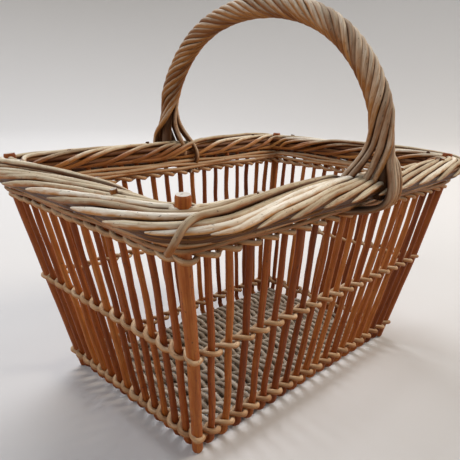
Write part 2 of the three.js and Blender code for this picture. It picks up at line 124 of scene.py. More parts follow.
def rods(name, bark, paths, radii, facing, sides=12, loop=False, ends=(0.6, 0.6), openness=1.0):
    # Round rods along paths, as one mesh. Open rods close with a small worn edge and a flat cut end.
    # Openness is how much weather and painted light from above each point gets, from 0 to 1.
    points = np.asarray(paths, float)
    count, stations = points.shape[:2]
    openness = np.broadcast_to(openness, (count, stations))
    radii = np.broadcast_to(radii, (count, stations)).astype(float)
    facing = np.broadcast_to(facing, points.shape).astype(float)
    if loop:
        along = unit(np.roll(points, -1, axis=1) - np.roll(points, 1, axis=1))
    else:
        along = unit(np.gradient(points, axis=1))
        points, along, radii, facing = wornEnds(points, along, radii, facing, ends)
        openness = np.concatenate([openness[:, :1], openness, openness[:, -1:]], axis=1)
        stations += 2
    surface, ring, turn = rodRings(points, along, radii, facing, sides)
    place = np.arange(count * stations * sides).reshape(count, stations, sides)
    quads = rodQuads(place, loop)
    maps = rodMap(points, radii, sides, loop)
    loops = quads.reshape(-1)
    starts = np.arange(len(quads)) * 4
    totals = np.full(len(quads), 4)
    if not loop:
        caps = np.concatenate([place[:, 0, :], place[:, -1, ::-1]]).reshape(-1)
        capMap = np.tile(np.stack([np.cos(turn), np.sin(turn)], 1) * radii.mean(), (2 * count, 1))
        starts = np.concatenate([starts, len(loops) + np.arange(2 * count) * sides])
        totals = np.concatenate([totals, np.full(2 * count, sides)])
        loops = np.concatenate([loops, caps])
        maps = np.concatenate([maps, capMap])
    isCap = totals == sides
    mesh = bpy.data.meshes.new(name)
    mesh.vertices.add(surface.size // 3)
    mesh.vertices.foreach_set("co", surface.reshape(-1))
    mesh.loops.add(len(loops))
    mesh.loops.foreach_set("vertex_index", loops.astype(np.int32))
    mesh.polygons.add(len(starts))
    mesh.polygons.foreach_set("loop_start", starts.astype(np.int32))
    mesh.polygons.foreach_set("loop_total", totals.astype(np.int32))
    mesh.polygons.foreach_set("use_smooth", ~isCap)
    mesh.polygons.foreach_set("material_index", isCap.astype(np.int32))
    mesh.materials.append(bark)
    mesh.materials.append(cutWillow)
    mesh.uv_layers.new(name="rodMap").data.foreach_set("uv", maps.reshape(-1))
    pointValues(mesh, "tone", np.repeat(chance.random(count), stations * sides))  # one for each rod
    # Up-facing points, times openness, take the paler band: partly weathering, partly painted light from
    # above.
    pointValues(mesh, "skyLitAndBleached", ((ring[..., 2] * 0.5 + 0.5) * openness[..., None]).reshape(-1))  # looks up
    # Points that look away from facing get painted shade between neighbouring rods.
    pointValues(mesh, "proud", np.tile(np.cos(turn) * 0.5 + 0.5, count * stations))  # looks at facing
    mesh.update(calc_edges=True)
    mesh.validate()
    piece = bpy.data.objects.new(name, mesh)
    bpy.context.scene.collection.objects.link(piece)
    return piece


def joined(name, parts):
    # One piece from several, with their maps and attributes kept.
    bpy.ops.object.select_all(action="DESELECT")
    for part in parts:
        part.select_set(True)
    bpy.context.view_layer.objects.active = parts[0]
    bpy.ops.object.join()
    parts[0].name = name
    parts[0].data.name = name
    return parts[0]


def placed(piece, nodes=()):
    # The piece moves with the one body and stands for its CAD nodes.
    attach(piece, "root")
    if nodes:
        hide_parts(*nodes)
    return piece


def colour(code):
    # sRGB hex to linear light.
    parts = np.array([int(code[i:i + 2], 16) for i in (0, 2, 4)]) / 255
    linear = np.where(parts <= 0.04045, parts / 12.92, ((parts + 0.055) / 1.055) ** 2.4)
    return (*linear, 1.0)


def addNode(tree, kind, inputs=None, **settings):
    # A node with its settings, and each input set to a value or linked from a socket.
    node = tree.nodes.new(kind)
    for key, value in settings.items():
        setattr(node, key, value)
    for key, value in (inputs or {}).items():
        if isinstance(value, bpy.types.NodeSocket):
            tree.links.new(value, node.inputs[key])
        else:
            node.inputs[key].default_value = value
    return node


# Each pattern's length along the rod and width round it in millimetres, and its noise detail.
grain = {
    "streaks": (38, 1.5, 3),    # bark streaks
    "blots": (14, 5, 2),        # patches worn or bleached more than the rest
    "marks": (3.2, 1.8, 1),     # where buds were
    "fibres": (9, 0.45, 2),     # wood fibres, drawn coarser than real ones so that they show
    "apart": 37.0,              # moves each rod, by its tone, to its own place in the noise
    "bumpDepth": 0.6 * mm,
    "budMark": "3a2415",
    "paintedGrooveShade": "3f1f0a",    # painted shade between neighbouring rods
}


def willow(name, bark, weatheredAndLit, bleachAndLight, grooveShadeSpan=(-0.2, 0.1), streak=1.0, mottle=0.9, rough=0.62):
    # Willow rod: colour runs from bark to weathered with the way a point looks up, partly weathering and
    # partly painted light from above, and with blots; each is streaked lengthways and toned for each rod,
    # grooves get painted shade and bud marks are darker.
    material = bpy.data.materials.new(name)
    material.use_nodes = True
    tree = material.node_tree
    tree.nodes.clear()
    uv = addNode(tree, "ShaderNodeUVMap", uv_map="rodMap").outputs["UV"]
    tone, skyLitAndBleached, proud = (addNode(tree, "ShaderNodeAttribute", attribute_name=key).outputs["Fac"]
                        for key in ("tone", "skyLitAndBleached", "proud"))
    apart = addNode(tree, "ShaderNodeMath", {0: tone, 1: grain["apart"]}, operation="MULTIPLY").outputs[0]
    shift = addNode(tree, "ShaderNodeCombineXYZ", {"X": apart, "Y": apart, "Z": apart}).outputs[0]
    fields = {}
    for key in ("streaks", "blots", "marks", "fibres"):
        longMm, wideMm, detail = grain[key]
        perMetre = (1 / (wideMm * mm), 1 / (longMm * mm), 1)
        scaled = addNode(tree, "ShaderNodeVectorMath", {0: uv, 1: perMetre}, operation="MULTIPLY").outputs[0]
        moved = addNode(tree, "ShaderNodeVectorMath", {0: scaled, 1: shift}, operation="ADD").outputs[0]
        fields[key] = addNode(tree, "ShaderNodeTexNoise", {"Vector": moved, "Scale": 1.0, "Detail": detail,
                                                           "Roughness": 0.6}).outputs["Fac"]

    # Streaks and the rod's own tone choose a place on both colour bands.
    toned = addNode(tree, "ShaderNodeMath", {0: tone, 1: 0.55, 2: 0.0}, operation="MULTIPLY_ADD").outputs[0]
    mixed = addNode(tree, "ShaderNodeMath", {0: fields["streaks"], 1: 0.75 * streak, 2: toned},
                    operation="MULTIPLY_ADD").outputs[0]
    bands = []
    for codes in (bark, weatheredAndLit):
        band = addNode(tree, "ShaderNodeValToRGB", {"Fac": mixed})
        stops = band.color_ramp.elements
        while len(stops) < len(codes):
            stops.new(0.5)
        for i, code in enumerate(codes):
            stops[i].position = min(0.25 + 0.4 * i, 1.0)
            stops[i].color = colour(code)
        bands.append(band.outputs["Color"])

    # The way a point looks up (weathering and painted light from above) and blots choose between the two
    # bands.
    faded = addNode(tree, "ShaderNodeMath", {0: fields["blots"], 1: mottle, 2: -0.5 * mottle},
                    operation="MULTIPLY_ADD").outputs[0]
    bleachedAndLit = addNode(tree, "ShaderNodeMapRange", {"Value": skyLitAndBleached, "From Min": 0.15, "From Max": 0.95,
                                                    "To Min": bleachAndLight[0], "To Max": bleachAndLight[1]}).outputs[0]
    amount = addNode(tree, "ShaderNodeMath", {0: bleachedAndLit, 1: faded}, operation="ADD",
                     use_clamp=True).outputs[0]
    base = addNode(tree, "ShaderNodeMix", {0: amount, 6: bands[0], 7: bands[1]}, data_type="RGBA").outputs[2]

    # Bud marks, and painted shade between neighbouring rods.
    spot = addNode(tree, "ShaderNodeMapRange", {"Value": fields["marks"], "From Min": 0.66, "From Max": 0.76,
                                                "To Min": 0.0, "To Max": 0.6}).outputs[0]
    spotted = addNode(tree, "ShaderNodeMix", {0: spot, 6: base, 7: colour(grain["budMark"])},
                      data_type="RGBA").outputs[2]
    grooveShadeAmount = addNode(tree, "ShaderNodeMapRange", {"Value": proud, "From Min": grooveShadeSpan[0], "From Max": grooveShadeSpan[1],
                                                 "To Min": 0.8, "To Max": 0.0},
                    interpolation_type="SMOOTHSTEP").outputs[0]
    shaded = addNode(tree, "ShaderNodeMix", {0: grooveShadeAmount, 6: spotted, 7: colour(grain["paintedGrooveShade"])},
                     data_type="RGBA").outputs[2]

    # Fibres and streaks raise the surface, and what is bleached is drier.
    heights = addNode(tree, "ShaderNodeMath", {0: fields["fibres"], 1: 0.5, 2: fields["streaks"]},
                      operation="MULTIPLY_ADD").outputs[0]
    bump = addNode(tree, "ShaderNodeBump", {"Height": heights, "Strength": 0.55,
                                            "Distance": grain["bumpDepth"]}).outputs[0]
    dry = addNode(tree, "ShaderNodeMapRange", {"Value": amount, "To Min": rough - 0.1,
                                               "To Max": rough + 0.12}).outputs[0]
    shader = addNode(tree, "ShaderNodeBsdfPrincipled", {"Base Color": shaded, "Roughness": dry,
                                                        "Normal": bump, "IOR": 1.48,
                                                        "Specular IOR Level": 0.25})
    out = addNode(tree, "ShaderNodeOutputMaterial")
    tree.links.new(shader.outputs[0], out.inputs["Surface"])
    return material


# Colours go from dark to light. The first pair of numbers is how bleached and lit a point is that looks down
# and one that looks up, partly weathering and partly painted light from above, and the second pair is where
# on the rod the painted shade between neighbours begins and ends.

# Buffed willow, boiled in its bark and peeled: a deep orange-brown, streaked, bleached only a little.
stakeWillow = willow("stakeWillowBuffed", ["5c2304", "843c0c", "a85c1c"], ["7c3f10", "9f5c22", "c48a4c"],
                     (0.0, 0.45))
# The same willow rubbed dull by use: tan, with pale crowns on top where the rods stand out between stakes,
# partly wear and partly painted light from above.
rowWillow = willow("rowWillowBuffed", ["7a3f12", "9e5f28", "bd844a"], ["927050", "b89a76", "d8c6aa"],
                   (-0.15, 0.95))
# Weathered and lit on top: patchy cream-grey where it looks up, brown where it turns under, partly weathering
# and partly painted light and shade.
borderWillow = willow("borderWillowWeathered", ["6e3a12", "9c602a", "bd8548"],
                      ["8a7257", "c6b698", "eee6d6"], (-0.3, 1.1), (0.45, 0.74), mottle=1.7)
# Inside and under the border: brown and hardly bleached, kept from the weather, and darker as painted shade
# under the border; dark where rods meet is painted shade.
tuckedShadeWillow = willow("tuckedWillowPaintedShade", ["5a2c0c", "84501f", "a8733a"],
                      ["74522e", "93693a", "b28a58"], (-0.45, 0.35), (0.35, 0.65))
# Polished and greyed by hands: tan sides and a paler back to each turn of the rope, the paler back partly
# painted light from above.
handleWillow = willow("handleWillowBuffed", ["5c2f0e", "8a5524", "b27e46"],
                      ["85705a", "b7a48a", "e0d5c2"], (-0.5, 1.1), (0.42, 0.72), mottle=1.3)
# Dry, dusty rods of the bottom: beige-grey, with little left of the bark's colour.
baseWillow = willow("baseWillowWeathered", ["75604a", "a08a70", "bda98e"],
                    ["8f816e", "bbae9a", "dad0be"], (0.1, 0.8))
# End grain where a rod was cut: pale grey-beige, matt and a little blotched.
cutWillow = willow("willowCutEnd", ["7c6a55", "a2937f", "bdb2a3"], ["8f8576", "b3aa9d", "d0c9be"],
                   (0.3, 1.0), streak=1.4)
print("materials made")


wall = {
    "longStakes": 18,
    "shortStakes": 13,
    "rowInset": 6.05 * mm,      # from the stake line to the middle of the inner row
}
wallNames = ("front", "right", "back", "left")
rowNames = ("base", "mid", "top")


def rowSize(name):
    # Height, half length and half width of the stake line at a fitched row.
    low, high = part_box("fitch_" + name + "_inner")
    thick = (high.z - low.z) / 2
    return (low.z + high.z) / 2, high.x - thick + wall["rowInset"], high.y - thick + wall["rowInset"]


rowSizes = {name: rowSize(name) for name in rowNames}
levelZ, levelX, levelY = (np.array([rowSizes[name][i] for name in rowNames]) for i in range(3))


def reading(levels, z):
    # Straight lines between the three rows, carried on above and below.
    z = np.asarray(z, float)
    lowSlope = (levels[1] - levels[0]) / (levelZ[1] - levelZ[0])
    highSlope = (levels[2] - levels[1]) / (levelZ[2] - levelZ[1])
    return np.where(z < levelZ[1], levels[0] + (z - levelZ[0]) * lowSlope,
                    levels[1] + (z - levelZ[1]) * highSlope)


# The way along each wall, the way out of it and its number of stakes.
wallFacts = {
    "front": ((1, 0), (0, -1), wall["longStakes"]),
    "right": ((0, 1), (1, 0), wall["shortStakes"]),
    "back": ((-1, 0), (0, 1), wall["longStakes"]),
    "left": ((0, -1), (-1, 0), wall["shortStakes"]),
}


def wallPoint(name, u, z):
    # Point of a wall: u runs from -1 to 1 anticlockwise seen from above, and z is the height.
    run, away, _ = wallFacts[name]
    halfX, halfY = reading(levelX, z), reading(levelY, z)
    half = halfX if run[0] else halfY
    deep = halfY if run[0] else halfX
    x = run[0] * u * half + away[0] * deep
    y = run[1] * u * half + away[1] * deep
    return np.stack(np.broadcast_arrays(x, y, np.asarray(z, float)), axis=-1)


def stakeShares(count):
    # Where equally spaced stakes stand between two posts, from -1 to 1.
    return 2 * (np.arange(count) + 1) / (count + 1) - 1


stake = {
    "foot": 6.4 * mm,           # thickness at the base
    "tip": 5.6 * mm,
    "top": 214 * mm,
    "bendRadius": 8 * mm,
    "footHeight": 3.75 * mm,    # of the bent foot's middle line
    "footRuns": (1.5 * mm, 3.5 * mm),  # level distances past the bend
    "wobble": 0.75 * mm,        # sideways wander, and a bow that is most at half height
    "bow": 0.5 * mm,
}


def stakeRods(name):
    # Stake paths of one wall from tip to foot: straight with a wander, then a quarter circle inward.
    run, away, count = wallFacts[name]
    shares = stakeShares(count)[:, None]
    bendTop = stake["footHeight"] + stake["bendRadius"]
    z = np.linspace(stake["top"], bendTop, 40)[None]
    heights = np.repeat(z, count, axis=0)
    straight = wallPoint(name, shares, heights)
    share = (z - bendTop) / (stake["top"] - bendTop)
    bow = chance.normal(0, stake["bow"], (count, 1)) * np.sin(np.pi * share)
    drift = smoothWave(count, heights, stake["wobble"], 0.05, 0.16) + bow
    straight = straight + drift[..., None] * np.array([run[0], run[1], 0.0])
    turn = np.linspace(0, np.pi / 2, 9)[1:]
    inward = stake["bendRadius"] * (1 - np.cos(turn))
    drop = stake["bendRadius"] * np.sin(turn)
    inward = np.concatenate([inward, inward[-1] + np.array(stake["footRuns"])])
    drop = np.concatenate([drop, [drop[-1]] * 2])
    outward = np.array([away[0], away[1], 0.0])
    foot = straight[:, -1:] - inward[None, :, None] * outward - drop[None, :, None] * upward
    return np.concatenate([straight, foot], axis=1), outward


def stakeGroups(count):
    # Pairs of neighbours bent from one rod, with the middle one alone where the number is odd.
    middle = (count - 1) // 2 if count % 2 else -1
    groups, i = [], 0
    while i < count:
        groups.append([i] if i == middle else [i, i + 1])
        i = groups[-1][-1] + 1
    return groups


def makeStakes():
    # Each pair is two tapering rods and the bar that joins their feet.
    for name, (_, _, count) in wallFacts.items():
        paths, outward = stakeRods(name)
        thick = np.linspace(stake["tip"], stake["foot"], paths.shape[1])[None] / 2
        girth = thick * chance.uniform(0.9, 1.1, (count, 1))
        girth = girth * (1 + smoothWave(count, alongPath(paths), 0.03, 0.02, 0.07))
        groups = stakeGroups(count)
        for number, members in enumerate(groups, 1):
            if name in ("back", "left"):
                number = len(groups) + 1 - number
            piece = rods("stakePair", stakeWillow, paths[members], girth[members], outward)
            if len(members) == 2:
                ends = paths[members, -1]
                foot = ends[0] + np.linspace(0, 1, 6)[:, None] * (ends[1] - ends[0])
                thickness = girth[members].mean() * 0.96
                bar = rods("stakeBar", stakeWillow, foot[None], thickness, upward, sides=10)
                piece = joined("stakePair", [piece, bar])
            piece.name = f"stakes{name.capitalize()}{number}"
            placed(piece, [f"stakes_{name}_{number}"])


post = {
    "foot": 9.4 * mm,
    "tip": 11.0 * mm,
    "inset": 1.6 * mm,          # inside the stake line
    "raised": 2.9 * mm,         # its cut foot above the CAD post's
    "lower": 5 * mm,            # how much lower three of the posts are cut than the front left one
    "bend": 6.4 * mm,           # inward above the top row
}
postCorners = {"front_left": (-1, -1), "front_right": (1, -1), "back_left": (-1, 1), "back_right": (1, 1)}


def makePosts():
    # A post follows the corner of the stake line, set in by the inset and by a bend above the top row.
    stations = 60
    for name, (sx, sy) in postCorners.items():
        low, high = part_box("post_" + name)
        top = high.z if name == "front_left" else high.z - post["lower"]
        z = np.linspace(low.z + post["raised"], top, stations)
        bend = np.interp(z, [levelZ[2], high.z], [0, 1]) * post["bend"]
        x = sx * (reading(levelX, z) - post["inset"] - bend)
        y = sy * (reading(levelY, z) - post["inset"] - bend * 0.5)
        path = np.stack([x, y, z], axis=1)[None]
        thick = np.linspace(post["foot"], post["tip"], stations)[None] / 2
        thick = thick * (1 + smoothWave(1, z[None], 0.02, 0.03, 0.09))
        title = "post" + name.title().replace("_", "")
        piece = rods(title, stakeWillow, path, thick, (sx, sy, 0), sides=20, ends=(0.85, 0.88))
        placed(piece, ["post_" + name])


def ringStakes(z):
    # Every post and stake in turn, anticlockwise from the front left post, with the way outward.
    points, aways, posts = [], [], []
    before = wallFacts["left"][1]
    for name in wallNames:
        away, count = wallFacts[name][1:]
        shares = np.concatenate([[-1], stakeShares(count)])
        isPost = shares == -1
        corner = unit(np.array([away[0] + before[0], away[1] + before[1], 0.0]))
        way = np.where(isPost[:, None], corner, np.array([away[0], away[1], 0.0]))
        inset = np.where(isPost, post["inset"], 0) * 1.4  # along the diagonal
        points.append(wallPoint(name, shares, np.full(len(shares), z)) - way * inset[:, None])
        aways.append(way)
        posts.append(isPost)
        before = away
    return np.concatenate(points), np.concatenate(aways), np.concatenate(posts)


def stepped(values, count, per):
    # Straight steps between neighbours round a closed ring.
    place = np.arange(count * per) / per
    index = np.floor(place).astype(int) % count
    share = (place % 1)[:, None]
    return values[index] * (1 - share) + values[(index + 1) % count] * share, place


def rounded(path, weights):
    # Each point of a closed path is the weighted mean of its neighbours.
    weights = np.array(weights) / sum(weights)
    middle = len(weights) // 2
    return sum(w * np.roll(path, i - middle, axis=0) for i, w in enumerate(weights))


row = {
    "rod": 4.2 * mm,
    "baseRod": 4.8 * mm,
    "rise": 2.2 * mm,           # how far a strand climbs and drops as it crosses the other
    "press": 0.2 * mm,          # into the stakes
    "per": 12,                  # path points from one stake to the next
    "wander": 0.18 * mm,
}


def fitchStrand(z, thick, phase):
    # A strand that goes outside one stake and inside the next: its way out follows a cosine with
    # flattened crests, and its height a sine, both with half a turn from one stake to the next.
    points, aways, posts = ringStakes(z)
    count, per = len(points), row["per"]
    reach = (stake["foot"] / 2 + thick / 2 - row["press"]) * np.ones(count)
    reach[posts] = post["tip"] / 2 + thick / 2 - row["press"]
    centre, place = stepped(points, count, per)
    away, _ = stepped(aways, count, per)
    far, _ = stepped(reach[:, None], count, per)
    turn = np.pi * (place + phase)
    swing = np.cos(turn)
    out = far[:, 0] * np.sign(swing) * np.abs(swing) ** 0.75 * 1.06
    lift = -row["rise"] * np.sin(turn)
    path = centre + unit(away) * out[:, None] + upward * lift[:, None]
    run = np.arange(count * per)[None].repeat(3, 0) * 1.6 * mm
    return rounded(path, [1, 2, 3, 2, 1]) + smoothWave(3, run, row["wander"], 0.04, 0.11).T


def makeRows():
    # Two strands a row, half a twist apart.
    for name in rowNames:
        thick = row["baseRod"] if name == "base" else row["rod"]
        for phase, side in ((0, "outer"), (1, "inner")):
            path = fitchStrand(rowSizes[name][0], thick, phase)[None]
            girth = thick / 2 * (1 + smoothWave(1, alongPath(path), 0.06, 0.03, 0.12))
            title = f"fitch{name.capitalize()}{side.capitalize()}"
            strand = rods(title, rowWillow, path, girth, upward, loop=True)
            placed(strand, [f"fitch_{name}_{side}"])


# Each wale rod's height above the top row, distance outside the stake line, swing and radius, in mm.
wale = {
    "rods": ((8.0, 9.2, 0.7, 1.75), (11.2, 9.0, 0.8, 1.7), (5.6, -6.2, 0.8, 2.1), (9.6, -7.0, 0.8, 2.2),
             (12.6, -4.6, 0.8, 2.2)),
    "period": 6,                # stakes to a swing
    "per": 8,                   # path points from one stake to the next
    "bob": 0.9 * mm,
}


def makeWale():
    # Thin long rods round the stakes between the top row and the border: each keeps its distance from
    # the stake line but for a slow cosine in and out and a sine up and down.
    strands = []
    for number, (lift, out, swing, _) in enumerate(wale["rods"]):
        points, aways, _ = ringStakes(rowSizes["top"][0] + lift * mm)
        centre, place = stepped(points, len(points), wale["per"])
        away, _ = stepped(aways, len(points), wale["per"])
        turn = 2 * np.pi * place / wale["period"] + number * 2.1
        off = (out + swing * np.cos(turn)) * mm
        path = centre + unit(away) * off[:, None] + upward * (wale["bob"] * np.sin(turn))[:, None]
        strands.append(rounded(path, [1, 2, 3, 4, 3, 2, 1]))
    paths = np.stack(strands)
    half = np.array([rod[3] for rod in wale["rods"]])[:, None] * mm
    girth = half * (1 + smoothWave(len(paths), alongPath(paths), 0.06, 0.05, 0.2))
    return rods("waleRods", rowWillow, paths, girth, upward, sides=10, loop=True)


border = {
    "rods": 38,
    "rod": 5.6 * mm,
    "width": 42 * mm,
    "height": 28 * mm,
    "tilt": 15,                 # degrees, outer side down
    "corner": 34 * mm,
    "start": 4 * mm,            # how far round the section, above its outer side, a rod begins
    "climb": 0.146,             # how fast it then climbs over the top
    "climbRun": 200 * mm,       # for how long a way along the border
    "dive": 0.30,               # and how fast it goes down on the inside
    "diveRun": 66 * mm,
    "tail": 0.07,               # and how fast after that
    "pastRun": 150 * mm,        # from the end of the climb to the end of the rod
    "tip": 24 * mm,             # length of the point at its start
    "crowding": 1.45,           # how much closer the tips stand round the corners
}
tilt = math.radians(border["tilt"])
reachOut = math.hypot(border["width"] / 2 * math.cos(tilt), border["height"] / 2 * math.sin(tilt))
borderLow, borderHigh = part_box("border_front")
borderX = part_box("border_right")[1].x - reachOut
borderY = -borderLow.y - reachOut
borderZ = (borderLow.z + borderHigh.z) / 2
straightX, straightY = (2 * (half - border["corner"]) for half in (borderX, borderY))
bendRun = border["corner"] * np.pi / 2
borderLength = 2 * (straightX + straightY) + 4 * bendRun


def borderLine(s):
    # Rounded rectangle round the rim at distance s, anticlockwise from the front left corner's end.
    r = border["corner"]
    starts = np.concatenate([[0], np.cumsum([straightX, bendRun, straightY, bendRun] * 2)])
    s = np.asarray(s, float) % starts[-1]
    which = np.clip(np.searchsorted(starts, s, side="right") - 1, 0, 7)
    local = s - starts[which]
    corner = which // 2
    angle = corner * np.pi / 2 - np.pi / 2 + np.where(which % 2, local / r, 0)
    away = np.stack([np.cos(angle), np.sin(angle), 0 * angle], axis=-1)
    right, back = borderX - r, borderY - r
    centres = np.array([[right, -back], [right, back], [-right, back], [-right, -back]])
    begin = np.roll(centres, 1, axis=0)
    ahead = np.array([[1, 0], [0, 1], [-1, 0], [0, -1]])
    straight = begin[corner] + ahead[corner] * local[..., None]
    centre = np.where((which % 2)[..., None], centres[corner], straight)
    flat = centre + away[..., :2] * r
    return np.concatenate([flat, np.full(flat.shape[:-1] + (1,), borderZ)], axis=-1), away


sectionTurn = np.linspace(-np.pi, 2 * np.pi, 3601)


def sectionTable(inset):
    # Distance round the tilted oval section, from the outer side over the top, for each turn.
    a = border["width"] / 2 - inset
    b = border["height"] / 2 - inset
    flat = np.stack([a * np.cos(sectionTurn), b * np.sin(sectionTurn)], axis=1)
    run = np.concatenate([[0], np.cumsum(np.linalg.norm(np.diff(flat, axis=0), axis=1))])
    return run - np.interp(0, sectionTurn, run), a, b


def onBorder(s, girthRun, inset):
    # Point on the border at distance s along it and distance girthRun about its section.
    run, a, b = sectionTable(np.mean(inset))
    turn = np.interp(girthRun, run, sectionTurn)
    extra = np.asarray(inset) - np.mean(inset)
    x = (a - extra) * np.cos(turn)
    y = (b - extra) * np.sin(turn)
    out = x * math.cos(tilt) + y * math.sin(tilt)
    up = y * math.cos(tilt) - x * math.sin(tilt)
    centre, away = borderLine(s)
    point = centre + away * out[..., None] + upward * up[..., None]
    face = away * (np.cos(turn) * math.cos(tilt) + np.sin(turn) * math.sin(tilt))[..., None]
    face = face + upward * (np.sin(turn) * math.cos(tilt) - np.cos(turn) * math.sin(tilt))[..., None]
    return point, face


def aside(points, through, direction, reach):
    # Rods bend round a post: what comes nearer to its line than reach is eased out to that distance.
    line = unit(np.asarray(direction, float))
    away = points - np.asarray(through, float)
    along = (away @ line)[..., None] * line
    level = away - along
    far = np.linalg.norm(level, axis=-1, keepdims=True)
    eased = (far ** 6 + reach ** 6) ** (1 / 6)
    return through + along + level / np.maximum(far, 1e-9) * eased


def clearOfPosts(points, half):
    # The rods eased round the line of each post in turn.
    lean = (0.21, 0.17)  # how far a post leans outward for each metre up
    for corner, (sx, sy) in postCorners.items():
        low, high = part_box("post_" + corner)
        top = np.array([sx * (max(abs(low.x), abs(high.x)) - post["tip"] / 2),
                        sy * (max(abs(low.y), abs(high.y)) - post["tip"] / 2), high.z])
        points = aside(points, top, (sx * lean[0], sy * lean[1], 1.0), post["tip"] / 2 + half * 0.9)
    return points


def outerRods(begin, climbRun, first, lift=0.0, hook=0.0, point=0.78, stations=120):
    # Border rods: each begins low outside, climbs over the top and goes down and along the inside.
    # Its distance about the section is three straight slopes, less the hook's decay near the start.
    count = len(begin)
    s = np.linspace(0, 1, stations)[None] * (climbRun + border["pastRun"])
    past = np.clip(s - climbRun, 0, None)
    climb = first + np.minimum(s, climbRun) * border["climb"]
    girthRun = climb + np.minimum(past, border["diveRun"]) * border["dive"]
    girthRun = girthRun + np.clip(past - border["diveRun"], 0, None) * border["tail"]
    girthRun = girthRun - hook * np.exp(-s / (4 * mm))
    even = np.ones(9) / 9
    girthRun = np.stack([np.convolve(np.pad(r, 4, mode="edge"), even, "valid") for r in girthRun])
    girthRun = girthRun + smoothWave(count, s, 0.55 * mm, 0.07, 0.2)
    half = border["rod"] / 2
    proud = lift + np.clip(1 - s / (30 * mm), 0, 1) * 1.0 * mm
    inset = half - proud + smoothWave(count, s, 0.4 * mm, 0.08, 0.2)
    inset = inset + np.clip((past - 60 * mm) / (80 * mm), 0, 1) * 6 * mm
    points, face = onBorder(begin + s, girthRun, inset)
    points = clearOfPosts(points, half)
    girth = half * chance.uniform(0.9, 1.05, (count, 1)) * (1 + smoothWave(count, s, 0.035, 0.015, 0.07))
    pointed = 1 - point * (1 - np.clip(s / border["tip"], 0, 1) ** 0.6)
    girth = girth * pointed * np.linspace(1.05, 0.8, stations)[None]
    # Less weather and less painted light from above where the rod goes down inside the border.
    openness = 1 - 0.75 * np.clip((past - 12 * mm) / (30 * mm), 0, 1)
    return points, girth, face, openness


def sideNames(s):
    # Which wall each place round the rim belongs to.
    _, away = borderLine(s)
    diagonal = 0.707
    return np.where(away[:, 1] < -diagonal, "front",
                    np.where(away[:, 0] > diagonal, "right",
                             np.where(away[:, 1] > diagonal, "back", "left")))


def sideSpan(name):
    # Where one wall's part of the border begins and ends, from half way round one corner to the next.
    start = -bendRun / 2
    for side, run in zip(wallNames, (straightX, straightY) * 2):
        if side == name:
            return start, start + run + bendRun
        start += run + bendRun


def inSection(s, out, up):
    # Point at a level distance out and a height up from the border's centre line.
    centre, away = borderLine(s)
    return centre + away * np.asarray(out)[..., None] + upward * np.asarray(up)[..., None]


# Rods inside the border and thinner ones below it. The places are (out, up) in mm from its middle.
under = {
    "places": ((9, 1), (3, 4.5), (-3, 6), (-9, 6), (-13, 0), (-9, -5), (-2, -4), (4, -3), (0, 1),
               (-5, 1)),
    "fillRadius": 3.6 * mm,
    "fillEase": 3.4 * mm,       # kept from the posts
    "overlap": 4 * mm,          # past the end of the wall's own part
    "lowRadius": 2.1 * mm,
    "lowRun": 170 * mm,
    "lowRods": 34,              # round the whole basket
    "wander": 0.4 * mm,
}


def makeUnder(name):
    # Rods that fill the inside of the border, and thinner ones that climb outward below it: straight
    # slopes out and up, then a turn in at the end.
    low, high = sideSpan(name)
    s = np.linspace(low - under["overlap"], high + under["overlap"], 110)[None]
    places = np.array(under["places"], float) * mm
    inner = inSection(np.repeat(s, len(places), 0), places[:, :1] + 0 * s, places[:, 1:] + 0 * s)
    # Both kinds take the darker tucked willow: painted shade inside and under the border.
    fill = rods("fill", tuckedShadeWillow, clearOfPosts(inner, under["fillEase"]), under["fillRadius"], upward,
                sides=8)
    spacing = borderLength / under["lowRods"]
    starts = np.arange(low, high, spacing)[:, None] + spacing * 0.3
    starts = starts + chance.uniform(-0.2, 0.2, starts.shape) * spacing
    t = np.linspace(0, 1, 70)[None] + 0 * starts
    rise = t ** 0.9
    tuck = np.clip((t - 0.82) / 0.18, 0, 1)
    out = (-7 + 15.5 * rise - 5 * tuck) * mm + smoothWave(len(t), t, under["wander"], 0.3, 0.8)
    up = (-12.5 + 8.5 * rise + 5.0 * tuck) * mm + smoothWave(len(t), t, under["wander"], 0.3, 0.8)
    path = inSection(starts + t * under["lowRun"], out, up)
    girth = under["lowRadius"] * chance.uniform(0.85, 1.1, (len(starts), 1))
    girth = girth * (0.6 + 0.4 * np.clip(t / 0.12, 0, 1))
    return [fill, rods("low", tuckedShadeWillow, path, girth, upward, sides=10, ends=(0.6, 0.6))]


stub = {
    "radius": 2.6 * mm,
    "out": (-9, 3),             # mm from the border's middle line
    "stand": (0.5, 3.5),        # mm out of its top
    "top": 13 * mm,
    "length": 18 * mm,
    "onLongWall": 4,
    "onShortWall": 3,
}


def makeStubs(name):
    # Cut rod ends that stand a little out of the top of the border, leaning outward a quarter.
    low, high = sideSpan(name)
    count = stub["onLongWall"] if name in ("front", "back") else stub["onShortWall"]
    s = low + (np.arange(count) + chance.uniform(0.25, 0.75, count)) / count * (high - low)
    centre, away = borderLine(s)
    out = chance.uniform(*stub["out"], count) * mm
    stand = chance.uniform(*stub["stand"], count) * mm
    climb = np.linspace(-stub["length"], 0, 12)
    points = centre[:, None] + away[:, None] * (out[:, None, None] + climb[None, :, None] * 0.25)
    top = stub["top"] - np.abs(out) * 0.25 + stand
    points[..., 2] += top[:, None] + climb[None]
    girth = stub["radius"] * chance.uniform(0.85, 1.15, (count, 1))
    # The stubs take the same darker willow as the rods inside the border, whose darkness there is painted
    # shade.
    return rods("stubs", tuckedShadeWillow, points, girth, away[:, None], ends=(0.9, 0.9))


# The rod that hooks over each corner, from low on the outside.
hooked = {
    "before": 5 * mm,           # before the wall's own part begins
    "first": 19 * mm,
    "climbRun": 170 * mm,
    "lift": 3.6 * mm,           # proud of the other rods
    "hook": 30 * mm,            # how far down the outside it starts
    "point": 0.1,
    "stations": 300,
}


